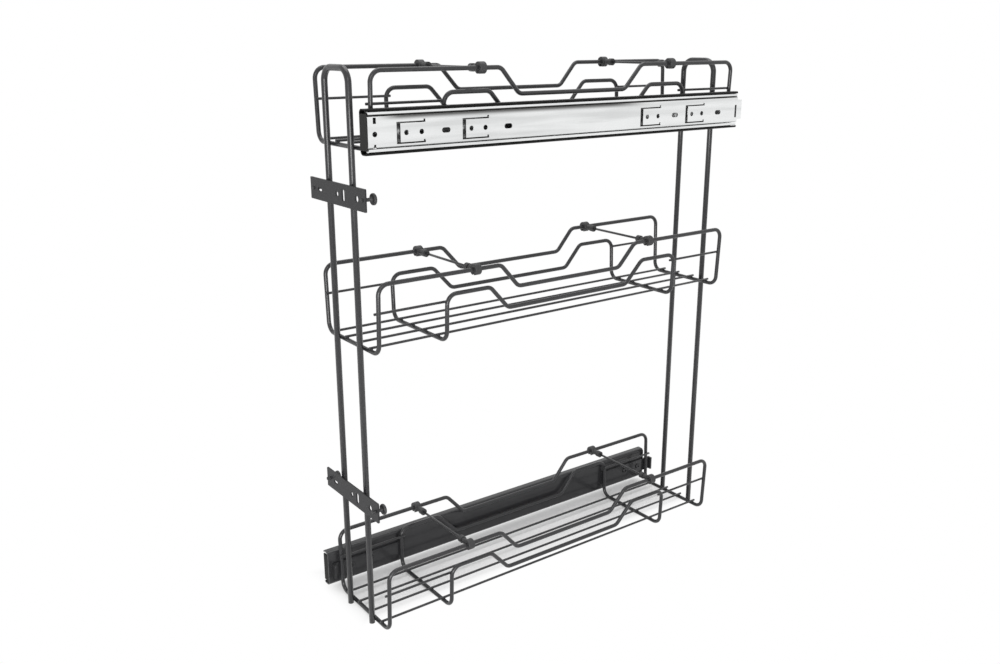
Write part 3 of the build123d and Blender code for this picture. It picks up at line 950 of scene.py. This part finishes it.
@dataclass
class Basket:
    """One wire basket: outer loop, inner loop, floor wires, side wires and their weld beads."""

    level: Level
    middle: float
    wire: float = 5.0
    thin_wire: float = 3.0
    foot_width: float = 116.2
    rail_width: float = 122.4
    outer_sizes: LoopSizes = LoopSizes(529.7, 78.2, 49.7, 104.72, 78.98)
    inner_sizes: LoopSizes = LoopSizes(356.0, 54.2, 25.8, 119.29, 93.02)
    corner: float = 12.0
    drop_bend: float = 11.0
    floor_pitch: float = 27.3
    floor_count: int = 4
    floor_back_reach: float = 1.0
    side_rise: float = 45.5
    side_reach: float = 3.0
    weld_gap: float = 0.05
    bead_length_share: float = 0.42
    bead_width_share: float = 0.62
    bead_height_share: float = 0.24
    bead_rows: int = 5
    bead_columns: int = 10
    arc_steps: int = 10
    sides: int = 16
    thin_sides: int = 12

    def leg(self, rise: float) -> float:
        """Half width of the leaning side at a rise above the crossbar."""
        lean = (self.rail_width - self.foot_width) / 2 / self.outer_sizes.rise
        return self.foot_width / 2 + lean * rise

    def loop(self, sizes: LoopSizes) -> Surface:
        """One closed bent wire.

        Args:
            sizes: the loop's lengths.

        Returns:
            Points and faces.
        """
        quarter = np.array(
            [
                [self.leg(0), -sizes.length / 2, 0],
                [self.leg(sizes.rise), -sizes.length / 2, sizes.rise],
                [self.leg(sizes.rise), -sizes.drop_start, sizes.rise],
                [self.leg(sizes.low_rise), -sizes.drop_end, sizes.low_rise],
            ]
        )
        back = quarter[::-1] * [1, -1, 1]
        near = np.vstack([quarter, back])
        far = near[::-1] * [-1, 1, 1]
        corners = np.vstack([near, far]) + [0, self.middle, self.level.height]
        radii = np.array([self.corner, self.corner, self.drop_bend, self.drop_bend])
        half = np.concatenate([radii, radii[::-1]])
        path = rounded_path(corners * MM, np.concatenate([half, half]) * MM, self.arc_steps, True)
        return tube(path, self.wire / 2 * MM, self.sides, True)

    def floor_places(self) -> np.ndarray:
        """Places of the floor wires across the basket."""
        return (np.arange(self.floor_count) - (self.floor_count - 1) / 2) * self.floor_pitch

    def floor(self) -> list[Surface]:
        """The floor wires.

        Returns:
            Their surfaces.
        """
        front = self.middle - self.outer_sizes.length / 2 - self.wire / 2
        back = self.middle + self.outer_sizes.length / 2 + self.wire / 2 + self.floor_back_reach
        height = self.level.height + self.wire / 2 + self.thin_wire / 2 + self.weld_gap
        return [
            straight_wire((x, front, height), (x, back, height), self.thin_wire, self.thin_sides)
            for x in self.floor_places()
        ]

    def side_inset(self) -> float:
        """Distance of the side wires from the middle plane."""
        gap = self.wire / 2 + self.thin_wire / 2 + self.weld_gap
        return self.leg(self.side_rise - self.thin_wire / 2) - gap

    def side_wires(self) -> list[Surface]:
        """The four side wires.

        Returns:
            Their surfaces.
        """
        outer = self.outer_sizes.length / 2 + self.side_reach
        inner = self.inner_sizes.length / 2 - self.side_reach
        height = self.level.height + self.side_rise
        made = []
        for end in (-1, 1):
            for x in (-self.side_inset(), self.side_inset()):
                start = (x, self.middle + end * outer, height)
                stop = (x, self.middle + end * inner, height)
                made.append(straight_wire(start, stop, self.thin_wire, self.thin_sides))
        return made

    def weld_beads(self) -> Surface:
        """Small beads where the thin wires are welded to the loops.

        Returns:
            Points and faces.
        """
        ends = np.array([-1, 1])
        bars = np.concatenate([ends * sizes.length / 2 for sizes in (self.outer_sizes, self.inner_sizes)])
        bars += self.middle
        floor_x, floor_y = np.meshgrid(self.floor_places(), bars, indexing="ij")
        floor_z = np.full(floor_x.size, self.level.height + self.wire / 2)
        inset = self.side_inset() + self.thin_wire / 2
        side_x, side_y = np.meshgrid(ends * inset, bars, indexing="ij")
        side_z = np.full(side_x.size, self.level.height + self.side_rise)
        floor = np.stack([floor_x.ravel(), floor_y.ravel(), floor_z], 1)
        side = np.stack([side_x.ravel(), side_y.ravel(), side_z], 1)
        wide = self.thin_wire * self.bead_width_share
        long = self.wire * self.bead_length_share
        low = self.thin_wire * self.bead_height_share
        floor_size = np.tile([wide, long, low], (len(floor), 1))
        side_size = np.tile([low, long, wide], (len(side), 1))
        centres, sizes = np.vstack([floor, side]) * MM, np.vstack([floor_size, side_size]) * MM
        return ball_grid(centres, sizes, self.bead_rows, self.bead_columns)

    def build(self) -> None:
        """Make and dress the basket's pieces."""
        word = self.level.word
        outer = make_object(f"{word}_outer_wire", *self.loop(self.outer_sizes))
        inner = make_object(f"{word}_inner_wire", *self.loop(self.inner_sizes))
        floor = make_object(f"{word}_floor_wire_row", *join(self.floor()))
        side = make_object(f"{word}_side_wire_set", *join(self.side_wires()))
        beads = make_object(f"{word}_weld_beads", *self.weld_beads())
        for thing in (outer, inner, floor, side, beads):
            close_up(thing)
        dress(outer, "rack", Finish.BLACK, f"{word}_outer_loop")
        dress(inner, "rack", Finish.BLACK, f"{word}_inner_loop")
        dress(floor, "rack", Finish.BLACK, f"{word}_floor_wires")
        dress(side, "rack", Finish.BLACK, f"{word}_side_wires")
        dress(beads, "rack", Finish.BLACK)


@dataclass
class UprightFrame:
    """One upside-down U of thick wire."""

    word: str
    place: float
    wire: float = 7.0
    spacing: float = 53.2
    height: float = 642.8
    corner: float = 15.0
    arc_steps: int = 14
    sides: int = 24

    def build(self) -> None:
        """Make and dress the frame."""
        half, top = self.spacing / 2, self.height - self.wire / 2
        corners = np.array([(half, 0), (half, top), (-half, top), (-half, 0)])
        corners = np.insert(corners, 1, self.place, axis=1)
        path = rounded_path(corners * MM, np.full(2, self.corner) * MM, self.arc_steps, False)
        points, faces = tube(path, self.wire / 2 * MM, self.sides, False)
        points[:, 2] = np.maximum(points[:, 2], 0.0)
        thing = make_object(f"{self.word}_upright_wire", points, faces)
        close_up(thing)
        dress(thing, "rack", Finish.BLACK, f"{self.word}_upright_frame")


@dataclass
class Divider:
    """One sliding divider: a rod and its two snap-on clips."""

    level: Level
    end: str
    rod_wire: float = 3.0
    sides: int = 14

    def build(self, frame: dict) -> None:
        """Make and dress the divider.

        Args:
            frame: the loaded frame.
        """
        body = f"{self.level.word}_{self.end}_divider"
        low, high = (np.array(corner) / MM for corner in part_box(f"{body}_rod"))
        middle = (low + high) / 2
        start, stop = ((x, middle[1], middle[2]) for x in (low[0], high[0]))
        rod = make_object(f"{body}_bar", *straight_wire(start, stop, self.rod_wire, self.sides))
        close_up(rod)
        dress(rod, body, Finish.BLACK, f"{body}_rod")
        refinish(frame, Finish.PLASTIC.material(), f"{body}_clips")


@dataclass
class DrawerSlide:
    """One drawer slide: its rolled rails, cages, balls and strips stay, its screws get cross recesses."""

    side: Side
    head: float = 8.0
    head_height: float = 2.2
    rim_share: float = 0.7
    rim_steps: int = 7
    shank: float = 4.0
    screw_spacing: float = 27.0
    recess: float = 1.4
    arm_edge: float = 0.56
    arm_slope: float = 0.35
    arm_end_share: float = 0.62
    arm_end_slope: float = 0.4
    rings: int = 26
    steps: int = 72

    def screw(self, place: np.ndarray, reach: float) -> Surface:
        """One pan-head screw that points away from the rack's middle.

        A ring's radius and height follow a profile: flat top, quarter-round rim, head side, seat
        and shank. The top is lowered by a cross: depth falls with the distance from the nearer of
        two crossed arms and with the distance from the centre.

        Args:
            place: centre of the head's seat, in millimetres.
            reach: length of the shank.

        Returns:
            Points in metres and faces.
        """
        outer, neck = self.head / 2, self.shank / 2
        rim = self.head_height * self.rim_share
        bend = np.linspace(0, math.pi / 2, self.rim_steps)
        flat = np.linspace(POLE_RADIUS, outer - rim, self.rings)
        rounding = outer - rim + rim * np.sin(bend)
        radius = np.concatenate([flat, rounding, [outer, neck, neck, POLE_RADIUS]])
        top = np.full(self.rings, self.head_height)
        falling = self.head_height - rim + rim * np.cos(bend)
        height = np.concatenate([top, falling, [0, 0, -reach, -reach]])
        turn = np.arange(self.steps)[None, :] / self.steps * 2 * math.pi
        across, along = radius[:, None] * np.cos(turn), radius[:, None] * np.sin(turn)
        nearer = np.minimum(np.abs(across), np.abs(along))
        arm = np.clip((self.arm_edge - nearer) / self.arm_slope, 0, 1)
        fade = np.clip((outer * self.arm_end_share - radius[:, None]) / self.arm_end_slope, 0, 1)
        face = (height == self.head_height)[:, None]
        sunk = height[:, None] - self.recess * arm * fade * face
        sign = self.side.sign
        points = np.stack([place[0] - sign * sunk, place[1] + sign * across, place[2] + along], -1)
        return points.reshape(-1, 3) * MM, ring_faces(len(radius), self.steps)

    def build(self, frame: dict) -> None:
        """Refinish the slide's solids and make its screws.

        Args:
            frame: the loaded frame.
        """
        word, sign = self.side.word, self.side.sign
        refinish(frame, Finish.BLACK.material(), f"{word}_front_strip", f"{word}_rear_strip")
        refinish(frame, self.side.rail_finish.material(), f"{word}_rack_rail")
        for kind, recipe in (("middle", MiddleZinc), ("cabinet", CabinetZinc)):
            low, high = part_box(f"{word}_{kind}_rail")
            zinc = recipe(f"{word}_{kind}_zinc", (low.z + high.z) / 2, (high.z - low.z) / 2)
            refinish(frame, zinc.build(), f"{word}_{kind}_rail")
        refinish(frame, Finish.CAGE.material(), f"{word}_outer_ball_cage", f"{word}_inner_ball_cage")
        refinish(frame, Finish.STEEL.material(), f"{word}_outer_balls", f"{word}_inner_balls")
        refinish(frame, Finish.RUBBER.material(), f"{word}_rail_bumper")
        low, high = (np.array(corner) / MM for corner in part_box(f"{word}_strip_screws"))
        inner = low[0] if sign > 0 else high[0]
        seat = inner + sign * self.head_height
        reach = high[0] - low[0] - self.head_height
        level = (low[2] + high[2]) / 2
        inwards = np.array([1, -1])
        ends = np.array([low[1], high[1]]) + inwards * self.head / 2
        places = np.concatenate([ends, ends + inwards * self.screw_spacing])
        screws = [self.screw(np.array([seat, y, level]), reach) for y in places]
        thing = make_object(f"{word}_cross_screws", *join(screws))
        close_up(thing)
        dress(thing, "rack", Finish.BLACK, f"{word}_strip_screws")


@dataclass
class DoorFixing:
    """One door plate, which stays, with threaded thumb studs."""

    word: str
    stem: float = 4.0
    nose_taper: float = 0.3
    collar: float = 6.6
    collar_reach: float = 2.6
    plate: float = 1.8
    gap: float = 0.05
    length: float = 12.6
    flare: float = 1.6
    flare_width: float = 8.6
    head: float = 12.6
    head_thickness: float = 3.6
    head_edge: float = 1.4
    edge_steps: int = 6
    thread_pitch: float = 0.7
    thread_depth: float = 0.22
    thread_steps: int = 6
    steps: int = 40

    def stud(self, place: np.ndarray, plate_front: float) -> Surface:
        """One stud along Y, from its nose to the back of its head.

        The radius follows the profile of nose, stem, collar, waist, flare and domed head; on the
        stem it is lowered by a thread, whose depth is a triangle wave of place along the stem
        over the pitch plus the share of a turn.

        Args:
            place: centre of the nose, in millimetres.
            plate_front: Y of the plate's front face.

        Returns:
            Points in metres and faces.
        """
        nose = place[1]
        collar = plate_front + self.plate + self.gap
        under = nose + self.length
        back = under + self.head_thickness
        stem = self.stem / 2
        rim = self.head / 2 - self.head_edge
        bend = np.linspace(0, math.pi / 2, self.edge_steps)
        thread = np.arange(nose + self.nose_taper, collar, self.thread_pitch / self.thread_steps)
        run = np.concatenate(
            [
                [nose, nose],
                thread,
                [collar, collar, collar + self.collar_reach, under - self.flare, under],
                under + self.head_edge * (1 - np.cos(bend)),
                back - self.head_edge * (1 - np.sin(bend)),
                [back],
            ]
        )
        radius = np.concatenate(
            [
                [POLE_RADIUS, stem - self.nose_taper],
                np.full(len(thread), stem),
                [stem, self.collar / 2, stem, stem, self.flare_width / 2],
                rim + self.head_edge * np.sin(bend),
                rim + self.head_edge * np.cos(bend),
                [POLE_RADIUS],
            ]
        )
        threaded = np.isin(run, thread)[:, None]
        turn = np.arange(self.steps)[None, :] / self.steps
        wave = np.abs(((run[:, None] / self.thread_pitch + turn) % 1) * 2 - 1)
        size = radius[:, None] - threaded * wave * self.thread_depth
        angle = turn * 2 * math.pi
        along = run[:, None] + 0 * angle
        points = np.stack([place[0] + size * np.cos(angle), along, place[2] + size * np.sin(angle)], -1)
        return points.reshape(-1, 3) * MM, ring_faces(len(run), self.steps)

    def build(self, frame: dict) -> None:
        """Refinish the plate and make the studs.

        Args:
            frame: the loaded frame.
        """
        refinish(frame, Finish.PLATE_BLACK.material(), f"{self.word}_door_plate")
        low, high = (np.array(corner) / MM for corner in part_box(f"{self.word}_door_studs"))
        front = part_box(f"{self.word}_door_plate")[0][1] / MM
        level = (low[2] + high[2]) / 2
        sides = np.array([low[0] + self.head / 2, high[0] - self.head / 2])
        studs = [self.stud(np.array([x, low[1], level]), front) for x in sides]
        thing = make_object(f"{self.word}_thumb_studs", *join(studs))
        close_up(thing)
        dress(thing, "rack", Finish.PLASTIC, f"{self.word}_door_studs")


# The studio

@dataclass(frozen=True)
class Lamp:
    """One rectangular soft lamp: its place, the point that it faces, width and height, and watts."""

    name: str
    place: Point
    aim: Point
    size: Pair
    power: float

    def build(self) -> None:
        """Hang the lamp, out of the camera's sight."""
        light = bpy.data.lights.new(self.name, "AREA")
        light.shape = "RECTANGLE"
        light.size, light.size_y = self.size
        light.energy = self.power
        thing = bpy.data.objects.new(self.name, light)
        bpy.context.scene.collection.objects.link(thing)
        thing.location = self.place
        thing.rotation_euler = (Vector(self.aim) - Vector(self.place)).to_track_quat("-Z", "Y").to_euler()
        thing.visible_camera = False


@dataclass
class Studio:
    """Pale floor, white surroundings, soft lamps and the camera."""

    azimuth: float = 53.62
    pitch: float = 16.78
    roll: float = 0.07
    focal: float = 973.84
    frame_width: float = 1000.0
    sensor: float = 36.0
    nearest: float = 0.05
    eye: Point = (0.93397, -0.74648, 0.66767)
    sky_level: float = 0.55
    floor_reach: float = 8.0
    floor_low: Colour = (0.88, 0.88, 0.88, 1.0)
    floor_high: Colour = (0.90, 0.90, 0.90, 1.0)
    floor_cloud: float = 2.0
    floor_roughness: float = 0.6
    floor_white: float = 0.20
    floor_fade: Pair = (0.0, 0.035)
    shadow_middle: Pair = (-0.050, 0.0)
    shadow_half: Pair = (0.045, 0.250)
    lamps: tuple[Lamp, ...] = (
        Lamp("key_lamp", (2.0, -1.2, 1.5), (0.0, 0.0, 0.3), (0.60, 0.90), 8.0),
        Lamp("low_lamp", (1.10, -0.95, 0.22), (0.0, 0.1, 0.3), (0.90, 0.60), 15.0),
        Lamp("top_lamp", (-0.2, 0.1, 2.4), (0.0, 0.0, 0.3), (1.6, 1.6), 22.0),
    )

    def camera(self) -> None:
        """Place the camera at the photograph's viewpoint."""
        lens = bpy.data.cameras.new("camera")
        lens.sensor_width = self.sensor
        lens.lens = self.focal / self.frame_width * self.sensor
        lens.clip_start = self.nearest
        thing = bpy.data.objects.new("camera", lens)
        bpy.context.scene.collection.objects.link(thing)
        thing.location = self.eye
        turn = (math.radians(angle) for angle in (90 - self.pitch, self.roll, self.azimuth))
        thing.rotation_euler = Euler(tuple(turn), "XYZ")
        bpy.context.scene.camera = thing

    def seen(self, graph: Graph) -> Term:
        """One for camera, mirror and glass rays, nought for the rays that only light things.

        Args:
            graph: the graph that gets the Light Path node.

        Returns:
            The switch.
        """
        path = graph.node("ShaderNodeLightPath")
        kinds = ("Is_Camera_Ray", "Is_Glossy_Ray", "Is_Transmission_Ray")
        camera, glossy, glass = (graph.result(path, kind) for kind in kinds)
        return (camera + glossy + glass).least(1.0)

    def world(self) -> None:
        """White surroundings where they are seen, a plain level where they light."""
        world = bpy.data.worlds.new("studio")
        bpy.context.scene.world = world
        world.use_nodes = True
        graph = Graph(world.node_tree)
        strength = self.seen(graph) * (1.0 - self.sky_level) + self.sky_level
        back = graph.value("ShaderNodeBackground", "Background", Color=WHITE, Strength=strength)
        graph.node("ShaderNodeOutputWorld", Surface=back)

    def floor_material(self) -> bpy.types.Material:
        """Pale floor that turns white with the distance from the box under the rack's far half.

        Returns:
            The material.
        """
        shader = Shader("pale_floor")
        cloud = shader.noise(shader.place(), self.floor_cloud)
        shader.set(
            Base_Color=shader.blend(cloud, self.floor_low, self.floor_high),
            Roughness=self.floor_roughness,
        )
        beside, before = (
            abs(shader.along(axis) - middle) - half
            for axis, middle, half in zip("XY", self.shadow_middle, self.shadow_half)
        )
        share = self.floor_white + beside.most(before).rise(*self.floor_fade) * (1.0 - self.floor_white)
        white = shader.value("ShaderNodeEmission", "Emission", Color=WHITE, Strength=1.0)
        inputs = {"Fac": self.seen(shader) * share, "Shader": shader.face, "Shader_001": white}
        shader.feed(shader.output, "Surface", shader.value("ShaderNodeMixShader", "Shader", **inputs))
        return shader.material

    def floor(self) -> None:
        """A wide pale floor that takes the rack's shadow."""
        corners = np.array([[-1, -1, 0], [1, -1, 0], [1, 1, 0], [-1, 1, 0]])
        thing = make_object("studio_floor", corners * self.floor_reach, np.array([[0, 1, 2, 3]]))
        thing.data.materials.append(self.floor_material())

    def build(self) -> None:
        """Set up the whole studio."""
        self.camera()
        self.world()
        self.floor()
        for lamp in self.lamps:
            lamp.build()
        view = bpy.context.scene.view_settings
        view.view_transform = "Standard"


def main() -> None:
    """Build every class in order and report each piece."""
    logging.basicConfig(level=logging.INFO, format="%(message)s")
    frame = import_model()
    low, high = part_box("top_outer_loop")
    middle = (low.y + high.y) / 2
    Studio().build()
    for level in Level:
        Basket(level, middle / MM).build()
    for word in ("front", "rear"):
        low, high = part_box(f"{word}_upright_frame")
        UprightFrame(word, (low.y + high.y) / 2 / MM).build()
    for side in Side:
        DrawerSlide(side).build(frame)
    for word in ("upper", "lower"):
        DoorFixing(word).build(frame)
    for level in Level:
        for end in ("front", "rear"):
            Divider(level, end).build(frame)


if __name__ == "__main__":
    main()
